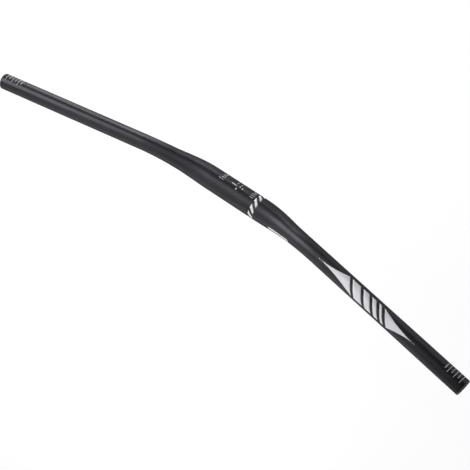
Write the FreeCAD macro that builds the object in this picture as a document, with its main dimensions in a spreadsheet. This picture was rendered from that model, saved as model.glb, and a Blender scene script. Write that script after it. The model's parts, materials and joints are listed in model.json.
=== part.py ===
import FreeCAD, Part
import math
import os
import Sketcher
from enum import IntEnum

# Mountain bike riser handlebar: one swaged, butted and bent aluminium tube, open at both ends.
# Frame: origin in the middle of the stem clamp, +X to the rider's right, +Y forward, +Z up.
# Half of the bar is built on the +X side, as a hollow section led along its centreline, and then mirrored.

# Driving dimensions, in millimetres and degrees.
DRIVING = (
    ("bar_width", 740, "between the centres of the two end faces"),
    ("clamp_diameter", 31.8, "outside, where the stem clamps"),
    ("clamp_straight", 42, "from the middle to the start of the rise bend"),
    ("rise_bend_radius", 120, "of the centreline, in the upright plane"),
    ("rise_angle", 21, "climb of the run between the bends"),
    ("rise_run", 21, "straight between the two bends"),
    ("sweep_bend_radius", 120, "of the centreline, in a slanted plane"),
    ("backsweep", 8, "of the grip, seen from above"),
    ("upsweep", 4, "of the grip, seen from behind"),
    ("grip_diameter", 22.2, "outside, where grips and levers go"),
    ("rise_middle_diameter", 29.7, "outside, half way round the rise bend"),
    ("rise_exit_diameter", 26.1, "outside, at the end of the rise bend"),
    ("sweep_entry_diameter", 23.6, "outside, at the start of the sweep bend"),
    ("clamp_wall", 2.4, "thickest, under the stem"),
    ("bend_wall", 2.2, "through the bends"),
    ("grip_wall", 2.0, "thinnest, under the grips"),
    ("rim_outer_radius", 1.2, "rounding of the tube's end, outside"),
    ("rim_inner_radius", 0.5, "rounding of the tube's end, inside"),
)

# Worked out from those: where the rise ends, how the sweep bend turns, and the length of the grip.
# The grip's direction has a share ahead along the climbing run, a share aside to the rear, and a share
# lifted square to the run, which is below zero because the grip climbs less steeply than the run.
DERIVED = (
    ("rise_end_x", "clamp_straight + rise_bend_radius * sin(rise_angle * 1 deg)"
                   " + rise_run * cos(rise_angle * 1 deg)"),
    ("rise_end_z", "rise_bend_radius * (1 - cos(rise_angle * 1 deg)) + rise_run * sin(rise_angle * 1 deg)"),
    ("share_ahead", "cos(rise_angle * 1 deg) + tan(upsweep * 1 deg) * sin(rise_angle * 1 deg)"),
    ("share_aside", "tan(backsweep * 1 deg)"),
    ("share_lifted", "tan(upsweep * 1 deg) * cos(rise_angle * 1 deg) - sin(rise_angle * 1 deg)"),
    ("share_turned", "hypot(share_aside; share_lifted)"),
    ("sweep_angle", "atan2(share_turned; share_ahead)"),
    ("sweep_roll", "atan2(share_aside; share_lifted)"),
    ("sweep_end_x", "rise_end_x + sweep_bend_radius * (sin(sweep_angle) * cos(rise_angle * 1 deg)"
                    " - (1 - cos(sweep_angle)) * sin(rise_angle * 1 deg) * share_lifted / share_turned)"),
    ("grip_length", "(bar_width / 2 - sweep_end_x) * hypot(share_ahead; share_turned)"),
)

# Outside diameter and wall of the tube at each station, from the clamp outwards.
CLAMP = ("Dimensions.clamp_diameter", "Dimensions.clamp_wall")
RISE_MIDDLE = ("Dimensions.rise_middle_diameter", "(Dimensions.clamp_wall + Dimensions.bend_wall) / 2")
RISE_EXIT = ("Dimensions.rise_exit_diameter", "Dimensions.bend_wall")
SWEEP_ENTRY = ("Dimensions.sweep_entry_diameter", "Dimensions.bend_wall")
# Half way round the sweep bend a quarter of the taper is left, so that it runs out tangent to the grip.
SWEEP_MIDDLE = (
    "(Dimensions.sweep_entry_diameter + 3 * Dimensions.grip_diameter) / 4",
    "(Dimensions.bend_wall + 3 * Dimensions.grip_wall) / 4",
)
GRIP = ("Dimensions.grip_diameter", "Dimensions.grip_wall")

ORIGIN = FreeCAD.Vector(0, 0, 0)
NORMAL = FreeCAD.Vector(0, 0, 1)

# How a sketch numbers the points of an edge and its own axes. Its root is the first point of its x axis.
Point = IntEnum("Point", ("START", "END", "CENTRE"))
Axis = IntEnum("Axis", (("X", -1), ("Y", -2)))
ROOT = (Axis.X, Point.START)


def make_sheet():
    made = doc.addObject("Spreadsheet::Sheet", "Dimensions")
    for row, (alias, number, meaning) in enumerate(DRIVING, start=1):
        made.set(f"A{row}", alias)
        made.set(f"B{row}", str(number))
        made.set(f"C{row}", meaning)
        made.setAlias(f"B{row}", alias)
    for row, (alias, formula) in enumerate(DERIVED, start=len(DRIVING) + 1):
        made.set(f"A{row}", alias)
        made.set(f"B{row}", "=" + formula)
        made.setAlias(f"B{row}", alias)
    doc.recompute()
    return made


def size(alias):
    """A cell of the sheet as a plain number; angles are in degrees."""
    return float(FreeCAD.Units.Quantity(sheet.get(alias)).Value)


def origin_plane(role):
    return next(feature for feature in body.Origin.OriginFeatures if feature.Role == role)


def sketch_on(role, name):
    """A sketch on one of the body's own origin planes."""
    sketch = body.newObject("Sketcher::SketchObject", name)
    sketch.AttachmentSupport = [(origin_plane(role), "")]
    sketch.MapMode = "FlatFace"
    return sketch


def sketch_across(path, edge, share, name):
    """A sketch square to an edge of a path, at a share of that edge's length."""
    sketch = body.newObject("Sketcher::SketchObject", name)
    sketch.AttachmentSupport = [(path, edge)]
    sketch.MapMode = "NormalToEdge"
    sketch.MapPathParameter = share
    return sketch


def bind(sketch, expression, *constraint):
    """Add a dimension to a sketch and tie it to an expression."""
    index = sketch.addConstraint(Sketcher.Constraint(*constraint))
    sketch.setExpression(f"Constraints[{index}]", expression)


def draw_tube(sketch, station):
    """Two circles about the sketch's origin: the outside of the tube and its bore."""
    diameter, wall = station
    for start_diameter, expression in ((24, diameter), (18, f"{diameter} - 2 * ({wall})")):
        circle = sketch.addGeometry(Part.Circle(ORIGIN, NORMAL, start_diameter / 2))
        sketch.addConstraint(Sketcher.Constraint("Coincident", circle, Point.CENTRE, *ROOT))
        bind(sketch, expression, "Diameter", circle, start_diameter)
    return sketch


def draw_bend(sketch, start_x, radius, angle):
    """An arc that leaves the sketch's x axis at start_x and turns up through an angle in degrees."""
    circle = Part.Circle(FreeCAD.Vector(start_x, radius, 0), NORMAL, radius)
    down = -math.pi / 2
    return sketch.addGeometry(Part.ArcOfCircle(circle, down, down + math.radians(angle)))


def make_rise_path():
    """The rise bend and the straight run after it, in the upright plane through the clamp."""
    path = sketch_on("XZ_Plane", "rise_path")
    angle = size("rise_angle")
    bend = draw_bend(path, size("clamp_straight"), size("rise_bend_radius"), angle)
    run_start = FreeCAD.Vector(*path.Geometry[bend].EndPoint)
    climb = FreeCAD.Vector(math.cos(math.radians(angle)), math.sin(math.radians(angle)), 0)
    run = path.addGeometry(Part.LineSegment(run_start, run_start + climb * size("rise_run")))
    path.addConstraint(Sketcher.Constraint("PointOnObject", bend, Point.START, Axis.X))
    path.addConstraint(Sketcher.Constraint("Vertical", bend, Point.START, bend, Point.CENTRE))
    path.addConstraint(Sketcher.Constraint("Tangent", bend, Point.END, run, Point.START))
    from_middle = ("DistanceX", *ROOT, bend, Point.START, size("clamp_straight"))
    bind(path, "Dimensions.clamp_straight", *from_middle)
    bind(path, "Dimensions.rise_bend_radius", "Radius", bend, size("rise_bend_radius"))
    bind(path, "Dimensions.rise_angle * 1 deg", "Angle", run, math.radians(angle))
    bind(path, "Dimensions.rise_run", "Distance", run, size("rise_run"))
    doc.recompute()
    return path


def make_sweep_path():
    """The sweep bend, in the slanted plane that holds both the climbing run and the grip."""
    path = sketch_on("XZ_Plane", "sweep_path")
    path.setExpression(
        "AttachmentOffset",
        "create(<<placement>>; create(<<vector>>; Dimensions.rise_end_x; Dimensions.rise_end_z; 0);"
        " create(<<rotation>>; Dimensions.rise_angle * 1 deg; 0 deg; Dimensions.sweep_roll))",
    )
    bend = draw_bend(path, 0, size("sweep_bend_radius"), size("sweep_angle"))
    path.addConstraint(Sketcher.Constraint("Coincident", bend, Point.START, *ROOT))
    path.addConstraint(Sketcher.Constraint("PointOnObject", bend, Point.CENTRE, Axis.Y))
    bind(path, "Dimensions.sweep_bend_radius", "Radius", bend, size("sweep_bend_radius"))
    bind(path, "Dimensions.sweep_angle", "Angle", bend, math.radians(size("sweep_angle")))
    doc.recompute()
    return path


def pad_tube(section, length, reversed_side, name):
    """A straight stretch of tube."""
    pad = body.newObject("PartDesign::Pad", name)
    pad.Profile = section
    pad.setExpression("Length", length)
    pad.Reversed = reversed_side
    doc.recompute()
    return pad


def lead_tube(path, edges, sections, name):
    """A stretch of tube that changes its section along a path, from the first section to the last."""
    pipe = body.newObject("PartDesign::AdditivePipe", name)
    pipe.Profile = sections[0]
    pipe.Spine = (path, edges)
    pipe.Transformation = "Multisection"
    pipe.Sections = [(section, [""]) for section in sections[1:]]
    doc.recompute()
    return pipe


def round_rim(base, diameter, radius, name):
    """Round the edge of the given diameter at the open end, the furthest such edge from the clamp."""
    edges = {
        f"Edge{number}": edge.CenterOfMass.x
        for number, edge in enumerate(base.Shape.Edges, start=1)
        if isinstance(edge.Curve, Part.Circle) and math.isclose(2 * edge.Curve.Radius, diameter, abs_tol=1e-4)
    }
    fillet = body.newObject("PartDesign::Fillet", name)
    fillet.Base = (base, [max(edges, key=edges.get)])
    fillet.setExpression("Radius", radius)
    doc.recompute()
    return fillet


doc = FreeCAD.newDocument("handlebar")
sheet = make_sheet()
body = doc.addObject("PartDesign::Body", "handlebar")
body.Label = "handlebar"

# Straight under the stem.
clamp_section = draw_tube(sketch_on("YZ_Plane", "clamp_section"), CLAMP)
pad_tube(clamp_section, "Dimensions.clamp_straight", False, "clamp")

# Taper through the rise bend and its run.
rise_path = make_rise_path()
rise_sections = [
    draw_tube(sketch_across(rise_path, "Edge1", 0, "rise_start"), CLAMP),
    draw_tube(sketch_across(rise_path, "Edge1", 0.5, "rise_middle"), RISE_MIDDLE),
    draw_tube(sketch_across(rise_path, "Edge1", 1, "rise_exit"), RISE_EXIT),
    draw_tube(sketch_across(rise_path, "Edge2", 1, "run_end"), SWEEP_ENTRY),
]
doc.recompute()
lead_tube(rise_path, ["Edge1", "Edge2"], rise_sections, "rise")

# Last of the taper, through the sweep bend.
sweep_path = make_sweep_path()
sweep_sections = [
    draw_tube(sketch_across(sweep_path, "Edge1", 0, "sweep_start"), SWEEP_ENTRY),
    draw_tube(sketch_across(sweep_path, "Edge1", 0.5, "sweep_middle"), SWEEP_MIDDLE),
    draw_tube(sketch_across(sweep_path, "Edge1", 1, "sweep_end"), GRIP),
]
doc.recompute()
lead_tube(sweep_path, ["Edge1"], sweep_sections, "sweep")

# Straight under the grip, with a rounded rim at the open end.
grip_section = draw_tube(sketch_across(sweep_path, "Edge1", 1, "grip_section"), GRIP)
grip = pad_tube(grip_section, "Dimensions.grip_length", True, "grip")
outer_rim = round_rim(grip, size("grip_diameter"), "Dimensions.rim_outer_radius", "outer_rim")
bore_diameter = size("grip_diameter") - 2 * size("grip_wall")
inner_rim = round_rim(outer_rim, bore_diameter, "Dimensions.rim_inner_radius", "inner_rim")

# The other half.
whole = body.newObject("PartDesign::Mirrored", "whole")
whole.TransformMode = "Whole shape"
whole.MirrorPlane = (origin_plane("YZ_Plane"), [""])
body.Tip = whole
doc.recompute()

failed = [item.Name for item in doc.Objects if "Invalid" in item.State or "Error" in item.State]
if failed:
    raise RuntimeError(f"objects that failed: {failed}")
if body.Shape.isNull() or not body.Shape.isValid() or len(body.Shape.Solids) != 1:
    raise RuntimeError("the handlebar is not one valid solid")

os.makedirs("parts", exist_ok=True)
body.Shape.exportStep(f"parts/{body.Label}.step")
print("volume", round(body.Shape.Volume, 1), "mm3, box", body.Shape.BoundBox)
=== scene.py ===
import json
import math
import bpy
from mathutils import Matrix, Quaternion, Vector


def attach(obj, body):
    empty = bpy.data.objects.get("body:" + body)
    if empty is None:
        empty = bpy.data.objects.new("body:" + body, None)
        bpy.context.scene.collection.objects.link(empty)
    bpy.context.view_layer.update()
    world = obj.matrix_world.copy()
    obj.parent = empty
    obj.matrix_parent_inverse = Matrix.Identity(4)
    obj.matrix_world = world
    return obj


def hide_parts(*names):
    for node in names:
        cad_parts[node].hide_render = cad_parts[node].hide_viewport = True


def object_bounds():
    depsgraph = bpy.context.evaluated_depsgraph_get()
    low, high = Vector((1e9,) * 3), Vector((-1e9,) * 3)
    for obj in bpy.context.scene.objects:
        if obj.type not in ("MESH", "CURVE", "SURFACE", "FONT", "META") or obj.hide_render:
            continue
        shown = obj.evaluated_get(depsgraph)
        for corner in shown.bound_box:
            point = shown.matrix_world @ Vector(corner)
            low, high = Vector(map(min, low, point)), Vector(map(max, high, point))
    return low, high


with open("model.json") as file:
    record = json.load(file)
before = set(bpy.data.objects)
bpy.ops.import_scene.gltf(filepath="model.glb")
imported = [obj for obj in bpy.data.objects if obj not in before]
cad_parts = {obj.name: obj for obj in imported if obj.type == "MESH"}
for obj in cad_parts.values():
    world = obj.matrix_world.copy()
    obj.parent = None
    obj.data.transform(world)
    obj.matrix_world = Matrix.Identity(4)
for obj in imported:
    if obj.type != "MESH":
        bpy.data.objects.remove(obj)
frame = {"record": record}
cad_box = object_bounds()
MM = 0.001

# Sizes that the frame states: the clamp, the grip seat and the bore of the right side.
mounts = {mount["name"]: mount for mount in frame["record"]["mounts"]}
clamp, seat, bore = (mounts[name] for name in ("stem_clamp", "right_grip_seat", "right_end_bore"))
CLAMP_HALF = clamp["dims"]["length_mm"] * MM / 2
CLAMP_RADIUS = clamp["dims"]["r_mm"] * MM
GRIP_RADIUS = seat["dims"]["r_mm"] * MM
GRIP_BORE = bore["dims"]["r_mm"] * MM

# Sizes of the bends, the taper and the rims, as the solid has them.
BEND_RADIUS = 120 * MM
RISE_ANGLE = math.radians(21)
RISE_RUN = 21 * MM
RIM_OUTER = 1.2 * MM
RIM_INNER = 0.5 * MM
CLAMP_BORE = 13.5 * MM

# The centreline of the right half: a straight, the rise bend, a run, the sweep bend and the grip.
ACROSS = Vector((1, 0, 0))
CLIMB = Vector((math.cos(RISE_ANGLE), 0, math.sin(RISE_ANGLE)))
GRIP_WAY = Vector(seat["axis"]).normalized()
SWEEP_ANGLE = CLIMB.angle(GRIP_WAY)
RISE_START = CLAMP_HALF
RISE_END = RISE_START + BEND_RADIUS * RISE_ANGLE
SWEEP_START = RISE_END + RISE_RUN
SWEEP_END = SWEEP_START + BEND_RADIUS * SWEEP_ANGLE
BAR_END = SWEEP_END + seat["dims"]["length_mm"] * MM + RIM_OUTER

# The two tapers at their stations: length from the clamp, outside radius and bore radius.
RISE_TAPER = (
    (RISE_START, CLAMP_RADIUS, CLAMP_BORE),
    ((RISE_START + RISE_END) / 2, 14.85 * MM, 12.55 * MM),
    (RISE_END, 13.05 * MM, 10.85 * MM),
    (SWEEP_START, 11.80 * MM, 9.60 * MM),
)
SWEEP_TAPER = (
    (SWEEP_START, 11.80 * MM, 9.60 * MM),
    ((SWEEP_START + SWEEP_END) / 2, 11.275 * MM, 9.225 * MM),
    (SWEEP_END, GRIP_RADIUS, GRIP_BORE),
)

# Fineness of the tube's mesh, and how many steps of a rim are worn and carry a painted highlight.
SEGMENTS = 96
STEP_STRAIGHT = 6 * MM
STEP_BEND = 2 * MM
RIM_STEPS = 6
WORN_HIGHLIGHT_STEPS = 2

# Prints stand a hair proud of the skin, and their edges go into it. Darts have a fine tip and curved sides.
PRINT_LIFT = 0.04 * MM
PRINT_SINK = 0.12 * MM
PRINT_STEP = 0.8 * MM
FINEST_TIP = 0.12 * MM
DART_CURVE = 1.9

# The camera of the photograph, for a square picture.
CAMERA_PLACE = Vector((0.39831, 0.30356, 1.05533))
CAMERA_AIM = Vector((0.02514, -0.04761, 0))
CAMERA_ROLL = math.radians(-102.509)
CAMERA_LENS = 68.887

# The floor glows white for the camera, more so far from the lamps. The wall behind it fades upwards.
FLOOR_DROP = 0.25
FLOOR_HALF = 120
FLOOR_TONE = (0.8, 0.8, 0.8, 1)
SEEN_FLOOR_TONE = (0.2, 0.2, 0.2, 1)
FLOOR_FADE = (0.6, 2.5)
NEAR_GLOW = 0.86
WALL_FADE = (math.sin(math.radians(12)), math.sin(math.radians(18)))
WORLD_LIGHT = 0.03

# Soft lamps that face the clamp: name, azimuth, elevation, distance, width, height, roll and radiance.
# Angles are in degrees and lengths in metres. Azimuth is counted from the bar's right, by way of its front.
LAMPS = (
    ("left_panel", 167, 44.5, 2.1, 1.44, 1.2, 126, 5.0),
    ("rear_left_panel", 224, 27.5, 0.62, 1.12, 0.38, 109, 1.15),
    ("rear_panel", 269, 22, 0.60, 0.99, 0.40, 88, 1.2),
    ("low_left_strip", 155, -8, 0.60, 0.10, 0.32, 8, 7.0),
    ("low_front_strip", 134, -12, 0.60, 0.48, 0.08, 77, 11.7),
    ("front_spot", 115, 3.5, 0.60, 0.08, 0.08, 0, 10.4),
    ("high_panel", 92, 75.5, 0.60, 0.81, 0.38, 93, 1.3),
)


def bend(start, way, next_way, turned):
    """Point and direction on a bend of the centreline, after it has turned by an angle."""
    inward = (next_way - way * way.dot(next_way)).normalized()
    point = start + BEND_RADIUS * (math.sin(turned) * way + (1 - math.cos(turned)) * inward)
    return point, math.cos(turned) * way + math.sin(turned) * inward


def half_centreline(along):
    """Point and direction of the right half's centreline, at a length from the middle of the clamp."""
    if along <= RISE_START:
        return ACROSS * along, ACROSS
    rise_start = ACROSS * RISE_START
    if along <= RISE_END:
        return bend(rise_start, ACROSS, CLIMB, (along - RISE_START) / BEND_RADIUS)
    rise_end, _ = bend(rise_start, ACROSS, CLIMB, RISE_ANGLE)
    if along <= SWEEP_START:
        return rise_end + CLIMB * (along - RISE_END), CLIMB
    sweep_start = rise_end + CLIMB * RISE_RUN
    if along <= SWEEP_END:
        return bend(sweep_start, CLIMB, GRIP_WAY, (along - SWEEP_START) / BEND_RADIUS)
    sweep_end, _ = bend(sweep_start, CLIMB, GRIP_WAY, SWEEP_ANGLE)
    return sweep_end + GRIP_WAY * (along - SWEEP_END), GRIP_WAY


def section_frame(along):
    """Centre of the section at a signed length from the clamp, and its forward and upward directions."""
    centre, way = half_centreline(abs(along))
    if along < 0:
        centre = Vector((-centre.x, centre.y, centre.z))
        way = Vector((way.x, -way.y, -way.z))
    forward = Vector((0, 1, 0))
    forward = (forward - way * way.y).normalized()
    return centre, forward, way.cross(forward)


def through(stations, along, column):
    """The smooth curve through a column of a taper's stations."""
    total = 0.0
    for here in stations:
        share = here[column]
        for other in stations:
            if other is not here:
                share *= (along - other[0]) / (here[0] - other[0])
        total += share
    return total


def radius_at(along, column=1):
    """Outside radius of the tube at a length from the clamp, or its bore with column 2."""
    along = abs(along)
    if along <= RISE_START:
        return RISE_TAPER[0][column]
    if along <= SWEEP_START:
        return through(RISE_TAPER, along, column)
    if along <= SWEEP_END:
        return through(SWEEP_TAPER, along, column)
    return SWEEP_TAPER[-1][column]


def on_section(along, radius, angle):
    """A point at an angle about the centreline, counted from forward towards up."""
    centre, forward, upward = section_frame(along)
    return centre + radius * (math.cos(angle) * forward + math.sin(angle) * upward)


def steps(start, end, step):
    """Even stations from start up to, and without, end."""
    count = max(1, round(abs(end - start) / step))
    return [start + (end - start) * i / count for i in range(count)]


def make_object(name, vertices, faces, material):
    """A smooth object of one material, linked to the scene."""
    mesh = bpy.data.meshes.new(name)
    mesh.from_pydata(vertices, [], faces)
    mesh.validate()
    mesh.polygons.foreach_set("use_smooth", [True] * len(mesh.polygons))
    mesh.materials.append(material)
    piece = bpy.data.objects.new(name, mesh)
    bpy.context.scene.collection.objects.link(piece)
    return piece


def half_stations(end):
    """Lengths from the clamp at which the right half has a ring, without the last one."""
    marks = ((0, STEP_STRAIGHT), (RISE_START, STEP_BEND), (RISE_END, STEP_BEND),
             (SWEEP_START, STEP_BEND), (SWEEP_END, STEP_STRAIGHT), (end, None))
    return [along for (a, step), (b, _) in zip(marks, marks[1:]) for along in steps(a, b, step)]


def rim_profile():
    """Length and radius of the rings round the right end, from the outside of the tube to its bore."""
    turns = [math.pi / 2 * i / RIM_STEPS for i in range(RIM_STEPS + 1)]
    rings = []
    for turn in turns:
        along = BAR_END - RIM_OUTER * (1 - math.sin(turn))
        rings.append((along, GRIP_RADIUS - RIM_OUTER * (1 - math.cos(turn))))
    for turn in turns:
        along = BAR_END - RIM_INNER * (1 - math.cos(turn))
        rings.append((along, GRIP_BORE + RIM_INNER * (1 - math.sin(turn))))
    return rings


def finish_rings(tube, ring_count, material, first, last):
    """Give a material to the rings from first up to last, and to the same rings on the left."""
    tube.data.materials.append(material)
    slot = len(tube.data.materials) - 1
    for ring in range(first, last):
        for side_ring in (ring, ring_count - 1 - ring):
            for k in range(SEGMENTS):
                tube.data.polygons[side_ring * SEGMENTS + k].material_index = slot


def make_tube(skin_material, rim_material, bore_material):
    """The bar itself: its skin, both rims and its bore, as one closed mesh."""
    rim = rim_profile()
    skin = half_stations(rim[0][0])
    bore_stations = half_stations(rim[-1][0])
    right = [(along, radius_at(along)) for along in skin] + rim
    right += [(along, radius_at(along, 2)) for along in reversed(bore_stations)]
    left = [(-along, radius) for along, radius in reversed(right[1:-1])]
    rings = right + left
    turns = [2 * math.pi * i / SEGMENTS for i in range(SEGMENTS)]
    vertices = [on_section(along, radius, turn) for along, radius in rings for turn in turns]
    faces = []
    for i in range(len(rings)):
        here = i * SEGMENTS
        beyond = (i + 1) % len(rings) * SEGMENTS
        for k in range(SEGMENTS):
            m = (k + 1) % SEGMENTS
            faces.append((here + k, here + m, beyond + m, beyond + k))
    tube = make_object("bar_tube", vertices, faces, skin_material)
    rim_start = len(skin)
    bore_start = rim_start + len(rim) - 1
    # The first rings of each rim get the worn finish, whose light grey is partly a painted highlight.
    finish_rings(tube, len(rings), rim_material, rim_start, rim_start + WORN_HIGHLIGHT_STEPS)
    finish_rings(tube, len(rings), bore_material, bore_start, len(right) - 1)
    return tube


class Print:
    """A print on the bar, made of thin four-sided patches that follow the skin."""

    def __init__(self):
        self.vertices = []
        self.faces = []

    def patch(self, spot, columns, rows):
        """Add a patch. spot(u, v) gives a length and an angle for u along the bar and v round it."""
        first = len(self.vertices)
        layer = (columns + 1) * (rows + 1)
        for lift in (PRINT_LIFT, -PRINT_SINK):
            for i in range(columns + 1):
                for k in range(rows + 1):
                    along, angle = spot(i / columns, k / rows)
                    self.vertices.append(on_section(along, radius_at(along) + lift, angle))

        def corner(i, k, under=False):
            return first + i * (rows + 1) + k + (layer if under else 0)

        for i in range(columns):
            for k in range(rows):
                loop = [(i, k), (i, k + 1), (i + 1, k + 1), (i + 1, k)]
                self.faces.append([corner(*c) for c in loop])
                self.faces.append([corner(*c, under=True) for c in reversed(loop)])
        border = [(i, 0) for i in range(columns)] + [(columns, k) for k in range(rows)]
        border += [(i, rows) for i in range(columns, 0, -1)] + [(0, k) for k in range(rows, 0, -1)]
        for a, b in zip(border, border[1:] + border[:1]):
            self.faces.append([corner(*a), corner(*b), corner(*b, under=True), corner(*a, under=True)])

    def quad(self, low_inner, high_inner, high_outer, low_outer):
        """Add a patch with straight sides between four (length, angle) corners."""

        def spot(u, v):
            low = [a + (b - a) * u for a, b in zip(low_inner, low_outer)]
            high = [a + (b - a) * u for a, b in zip(high_inner, high_outer)]
            return [a + (b - a) * v for a, b in zip(low, high)]

        radius = radius_at((low_inner[0] + high_outer[0]) / 2)
        length = max(abs(low_outer[0] - low_inner[0]), abs(high_outer[0] - high_inner[0]))
        turn = max(abs(high_inner[1] - low_inner[1]), abs(high_outer[1] - low_outer[1]))
        columns = max(1, math.ceil(length / (2 * PRINT_STEP)))
        rows = max(1, math.ceil(turn * radius / PRINT_STEP))
        self.patch(spot, columns, rows)

    def bar(self, start, end, low, high):
        """Add a patch from start to end along the bar, and from low to high, in degrees, round it."""
        low, high = math.radians(low), math.radians(high)
        self.quad((start, low), (start, high), (end, high), (end, low))

    def dart(self, tip, base, middle, half, lean):
        """Add a dart that widens from a fine tip to a slanted base, along sides that curve inwards."""
        fine = FINEST_TIP / radius_at(tip)

        def spot(u, v):
            reach = u if base > tip else 1 - u
            side = 2 * v - 1
            along = tip + (base - tip + lean * side) * reach
            return along, middle + side * max(fine, half * reach ** DART_CURVE)

        columns = math.ceil(abs(base - tip) / PRINT_STEP)
        rows = math.ceil(2 * half * radius_at(base) / PRINT_STEP)
        self.patch(spot, columns, rows)

    def finish(self, name, material):
        """Make the print's object and fix it to the bar."""
        piece = make_object(name, self.vertices, self.faces, material)
        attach(piece, "root")
        return piece


def new_material(name):
    """A new material, with its nodes and its shader."""
    material = bpy.data.materials.new(name)
    material.use_nodes = True
    tree = material.node_tree
    return material, tree, tree.nodes["Principled BSDF"]


def add_noise(tree, scale, detail=2.0, stretch=1):
    """Noise in the object's own metres, drawn out across the bar by stretch; returns its grey output."""
    place = tree.nodes.new("ShaderNodeTexCoord")
    mapping = tree.nodes.new("ShaderNodeMapping")
    mapping.inputs["Scale"].default_value = (1 / stretch, 1, 1)
    noise = tree.nodes.new("ShaderNodeTexNoise")
    noise.inputs["Scale"].default_value = scale
    noise.inputs["Detail"].default_value = detail
    tree.links.new(place.outputs["Object"], mapping.inputs["Vector"])
    tree.links.new(mapping.outputs["Vector"], noise.inputs["Vector"])
    return noise.outputs["Fac"]


def add_range(tree, source, low, high, taken=(0.3, 0.7)):
    """Spread the values between the two that are taken over the stretch from low to high."""
    spread = tree.nodes.new("ShaderNodeMapRange")
    spread.inputs["From Min"].default_value = taken[0]
    spread.inputs["From Max"].default_value = taken[1]
    spread.inputs["To Min"].default_value = low
    spread.inputs["To Max"].default_value = high
    tree.links.new(source, spread.inputs["Value"])
    return spread.outputs["Result"]


def add_colours(tree, source, dark, light):
    """Blend two colours by a grey value."""
    ramp = tree.nodes.new("ShaderNodeValToRGB")
    for stop, place, colour in zip(ramp.color_ramp.elements, (0.35, 0.65), (dark, light)):
        stop.position = place
        stop.color = (*colour, 1)
    tree.links.new(source, ramp.inputs["Fac"])
    return ramp.outputs["Color"]


def add_bump(tree, source, depth, below=None):
    """A bump of a depth in metres, on top of another one."""
    bump = tree.nodes.new("ShaderNodeBump")
    bump.inputs["Distance"].default_value = depth
    tree.links.new(source, bump.inputs["Height"])
    if below is not None:
        tree.links.new(below, bump.inputs["Normal"])
    return bump.outputs["Normal"]


def satin_black():
    """Black satin finish of dyed metal: an even, fine-grained skin with a slight ripple."""
    material, tree, shader = new_material("satin_black")
    cloud = add_noise(tree, scale=45)
    grain = add_noise(tree, scale=2000, detail=3.0)
    ripple = add_noise(tree, scale=160)
    colour = add_colours(tree, cloud, (0.0383, 0.0374, 0.0420), (0.0438, 0.0427, 0.0480))
    waves = add_bump(tree, ripple, depth=0.01 * MM)
    normal = add_bump(tree, grain, depth=0.014 * MM, below=waves)
    tree.links.new(colour, shader.inputs["Base Color"])
    tree.links.new(add_range(tree, cloud, low=0.36, high=0.39), shader.inputs["Roughness"])
    tree.links.new(normal, shader.inputs["Normal"])
    shader.inputs["Metallic"].default_value = 0.95
    shader.inputs["Specular IOR Level"].default_value = 0.0
    shader.inputs["Specular Tint"].default_value = (0.5, 0.5, 0.5, 1)
    return material


def worn_edge_with_painted_highlight():
    """Finish rubbed thin on the edge of a rim, so that grey metal shows through in places; its light greys
    are also a painted highlight along the rim.
    """
    material, tree, shader = new_material("worn_edge_with_painted_highlight")
    patches = add_noise(tree, scale=420, detail=4.0)
    # These light greys stand for worn metal and also paint the rim's highlight into the colour.
    colour = add_colours(tree, patches, (0.13, 0.13, 0.133), (0.32, 0.32, 0.327))
    tree.links.new(colour, shader.inputs["Base Color"])
    tree.links.new(add_range(tree, patches, low=0.48, high=0.36), shader.inputs["Roughness"])
    tree.links.new(add_bump(tree, patches, depth=0.01 * MM), shader.inputs["Normal"])
    return material


def drawn_bore():
    """Dull dark metal inside the tube, with faint lines along it."""
    material, tree, shader = new_material("drawn_bore")
    lines = add_noise(tree, scale=900, detail=3.0, stretch=25)
    colour = add_colours(tree, lines, (0.06, 0.06, 0.062), (0.10, 0.10, 0.103))
    tree.links.new(colour, shader.inputs["Base Color"])
    tree.links.new(add_range(tree, lines, low=0.45, high=0.6), shader.inputs["Roughness"])
    tree.links.new(add_bump(tree, lines, depth=0.01 * MM), shader.inputs["Normal"])
    shader.inputs["Metallic"].default_value = 0.3
    return material


def ink(name, dark, light, metallic):
    """Printed ink: opaque, slightly uneven in tone, with a fine tooth."""
    material, tree, shader = new_material(name)
    speckle = add_noise(tree, scale=1500, detail=3.0)
    tree.links.new(add_colours(tree, speckle, dark, light), shader.inputs["Base Color"])
    tree.links.new(add_range(tree, speckle, low=0.42, high=0.55), shader.inputs["Roughness"])
    tree.links.new(add_bump(tree, speckle, depth=0.004 * MM), shader.inputs["Normal"])
    shader.inputs["Metallic"].default_value = metallic
    return material


def print_cut_marks(name, side, first, spacing, material):
    """Six marks round the front of an end, by which the bar is cut to length; the innermost is bold."""
    low = -38
    highs = (65, 49, 64, 52, 66, 53)
    fine, bold = 0.75 * MM, 1.05 * MM
    widths = [fine] * (len(highs) - 1) + [bold]
    marks = Print()
    for number, (high, width) in enumerate(zip(highs, widths)):
        middle = side * (BAR_END - first - spacing * number)
        marks.bar(middle - width / 2, middle + width / 2, low, high)
    return marks.finish(name, material)


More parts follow.
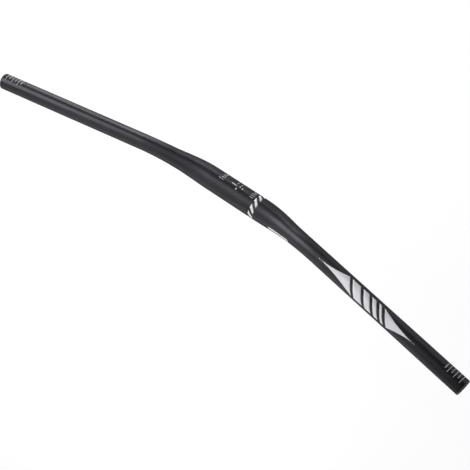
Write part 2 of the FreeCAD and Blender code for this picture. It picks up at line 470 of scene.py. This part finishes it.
def print_clamp_scale(material):
    """Angle scales at both edges of the stem, and the mark of the middle."""
    line = 0.5 * MM
    half = math.degrees(line / 2 / CLAMP_RADIUS)
    angles = (1, 13, 25, 37, 49)
    right_start, right_end = 22.4 * MM, 28.2 * MM
    left_start, left_end, left_long_end = -19.6 * MM, -24.6 * MM, -27.6 * MM
    scale = Print()
    for angle in angles:
        left_reach = left_long_end if angle == angles[-1] else left_end
        scale.bar(right_start, right_end, angle - half, angle + half)
        scale.bar(left_reach, left_start, angle - half, angle + half)
    middle_tick = (-8.3 * MM, 0, 36, 39.5)
    square = (8 * MM, 9.6 * MM, 34, 41)
    scale.bar(*middle_tick)
    round_lines = ((-20.5 * MM, -2, 36), (-1.4 * MM, -10, 27), (4.4 * MM, -20, 38))
    for along, low, high in round_lines:
        scale.bar(along - line / 2, along + line / 2, low, high)
    scale.bar(*square)
    pointer, pointer_angle = 1.8 * MM, math.radians(54)
    long_half, round_half = 1.1 * MM, math.radians(6)
    scale.quad((pointer - long_half, pointer_angle), (pointer, pointer_angle + round_half),
               (pointer + long_half, pointer_angle), (pointer, pointer_angle - round_half))
    return scale.finish("clamp_scale", material)


def print_clamp_ring(material):
    """A ring of slanted bars beside the stem."""
    start, end = 31 * MM, 38.6 * MM
    count = 10
    pitch = 2 * math.pi / count
    width, lean = pitch * 0.5, pitch * 0.75
    ring = Print()
    for number in range(count):
        low = number * pitch
        ring.quad((start, low), (start, low + width), (end, low + width + lean), (end, low + lean))
    return ring.finish("clamp_ring", material)


def print_taper_stripe(material):
    """A plain stripe on the rear of the right taper, with slanted ends."""
    low, high = math.radians(130), math.radians(144)
    low_start, high_start = 66 * MM, 67 * MM
    low_end, high_end = 102 * MM, 104 * MM
    stripe = Print()
    stripe.quad((low_start, low), (high_start, high), (high_end, high), (low_end, low))
    return stripe.finish("taper_stripe", material)


def print_arm_flash(material):
    """A long flash on the right arm: two darts, and slanted bars between them."""
    inner_tip, inner_base, outer_tip = 150 * MM, 202 * MM, 304 * MM
    middle, half = math.radians(76), math.radians(47)
    lean, gap = 8 * MM, 4.6 * MM
    widths = (13 * MM, 9.5 * MM, 6.5 * MM, 4 * MM)
    flash = Print()
    flash.dart(inner_tip, inner_base, middle, half, lean)
    start = inner_base + gap
    for width in widths:
        flash.quad((start - lean, middle - half), (start + lean, middle + half),
                   (start + width + lean, middle + half), (start + width - lean, middle - half))
        start += width + gap
    flash.dart(outer_tip, start, middle, half, lean)
    return flash.finish("arm_flash", material)


def make_camera():
    """The camera, turned about its line of sight by its roll."""
    data = bpy.data.cameras.new("camera")
    data.lens = CAMERA_LENS
    camera = bpy.data.objects.new("camera", data)
    camera.location = CAMERA_PLACE
    camera.rotation_mode = "QUATERNION"
    facing = (CAMERA_AIM - CAMERA_PLACE).to_track_quat("-Z", "Y")
    camera.rotation_quaternion = facing @ Quaternion((0, 0, 1), CAMERA_ROLL)
    bpy.context.scene.collection.objects.link(camera)
    bpy.context.scene.camera = camera


def add_lamp(name, azimuth, elevation, distance, width, height, roll, radiance):
    """A soft rectangular lamp that faces the clamp, with the radiance of its surface."""
    data = bpy.data.lights.new(name, "AREA")
    data.shape = "RECTANGLE"
    data.size, data.size_y = width, height
    data.energy = radiance * math.pi * width * height
    lamp = bpy.data.objects.new(name, data)
    a, e = math.radians(azimuth), math.radians(elevation)
    towards = Vector((math.cos(e) * math.cos(a), math.cos(e) * math.sin(a), math.sin(e)))
    facing = (-towards).to_track_quat("-Z", "Y")
    lamp.location = towards * distance
    lamp.rotation_mode = "QUATERNION"
    lamp.rotation_quaternion = facing @ Quaternion((0, 0, 1), math.radians(roll))
    lamp.visible_camera = False
    bpy.context.scene.collection.objects.link(lamp)


def seen_rays(tree):
    """1 for a ray from the camera, a mirror or glass, and 0 for a ray that only carries light."""
    path = tree.nodes.new("ShaderNodeLightPath")
    total = path.outputs["Is Camera Ray"]
    for ray in ("Is Glossy Ray", "Is Transmission Ray"):
        either = tree.nodes.new("ShaderNodeMath")
        either.operation = "MAXIMUM"
        tree.links.new(total, either.inputs[0])
        tree.links.new(path.outputs[ray], either.inputs[1])
        total = either.outputs["Value"]
    return total


def make_floor():
    """A pale floor that stays white in the picture and keeps the bar's shadow."""
    material = bpy.data.materials.new("pale_floor")
    material.use_nodes = True
    tree = material.node_tree
    tree.nodes.clear()
    output = tree.nodes.new("ShaderNodeOutputMaterial")
    paint = tree.nodes.new("ShaderNodeBsdfDiffuse")
    paint.inputs["Color"].default_value = FLOOR_TONE
    seen_paint = tree.nodes.new("ShaderNodeBsdfDiffuse")
    seen_paint.inputs["Color"].default_value = SEEN_FLOOR_TONE
    place = tree.nodes.new("ShaderNodeTexCoord")
    away = tree.nodes.new("ShaderNodeVectorMath")
    away.operation = "LENGTH"
    tree.links.new(place.outputs["Object"], away.inputs[0])
    glow = tree.nodes.new("ShaderNodeEmission")
    strength = add_range(tree, away.outputs["Value"], low=NEAR_GLOW, high=1, taken=FLOOR_FADE)
    tree.links.new(strength, glow.inputs["Strength"])
    seen = tree.nodes.new("ShaderNodeAddShader")
    mix = tree.nodes.new("ShaderNodeMixShader")
    tree.links.new(seen_paint.outputs["BSDF"], seen.inputs[0])
    tree.links.new(glow.outputs["Emission"], seen.inputs[1])
    tree.links.new(seen_rays(tree), mix.inputs["Fac"])
    tree.links.new(paint.outputs["BSDF"], mix.inputs[1])
    tree.links.new(seen.outputs["Shader"], mix.inputs[2])
    tree.links.new(mix.outputs["Shader"], output.inputs["Surface"])
    level = cad_box[0].z - FLOOR_DROP
    corners = [(x * FLOOR_HALF, y * FLOOR_HALF, level) for x, y in ((-1, -1), (1, -1), (1, 1), (-1, 1))]
    floor = make_object("floor", corners, [(0, 1, 2, 3)], material)


def make_world():
    """Faint light from all round, and a low white wall behind the floor."""
    world = bpy.data.worlds.new("studio")
    world.use_nodes = True
    tree = world.node_tree
    place = tree.nodes.new("ShaderNodeTexCoord")
    parts = tree.nodes.new("ShaderNodeSeparateXYZ")
    tree.links.new(place.outputs["Generated"], parts.inputs["Vector"])
    wall = add_range(tree, parts.outputs["Z"], low=1, high=WORLD_LIGHT, taken=WALL_FADE)
    strength = tree.nodes.new("ShaderNodeMix")
    strength.inputs["A"].default_value = WORLD_LIGHT
    tree.links.new(seen_rays(tree), strength.inputs["Factor"])
    tree.links.new(wall, strength.inputs["B"])
    tree.links.new(strength.outputs["Result"], tree.nodes["Background"].inputs["Strength"])
    tree.nodes["Background"].inputs["Color"].default_value = (1, 1, 1, 1)
    bpy.context.scene.world = world


def light_scene():
    """The world's light and the lamps."""
    make_world()
    for lamp in LAMPS:
        add_lamp(*lamp)
    bpy.context.scene.view_settings.view_transform = "Standard"


white_ink = ink("white_ink", (0.74, 0.74, 0.75), (0.82, 0.82, 0.83), 0.0)
grey_ink = ink("grey_ink", (0.46, 0.46, 0.47), (0.56, 0.56, 0.57), 0.0)
silver_ink = ink("silver_ink", (0.74, 0.73, 0.78), (0.84, 0.83, 0.88), 0.15)

tube = make_tube(satin_black(), worn_edge_with_painted_highlight(), drawn_bore())
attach(tube, "root")
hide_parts("handlebar")

print_cut_marks("cut_marks_left", -1, 7.3 * MM, 5.0 * MM, grey_ink)
print_cut_marks("cut_marks_right", 1, 7.3 * MM, 4.5 * MM, grey_ink)
print_clamp_scale(white_ink)
print_clamp_ring(white_ink)
print_taper_stripe(white_ink)
print_arm_flash(silver_ink)

make_floor()
light_scene()
make_camera()
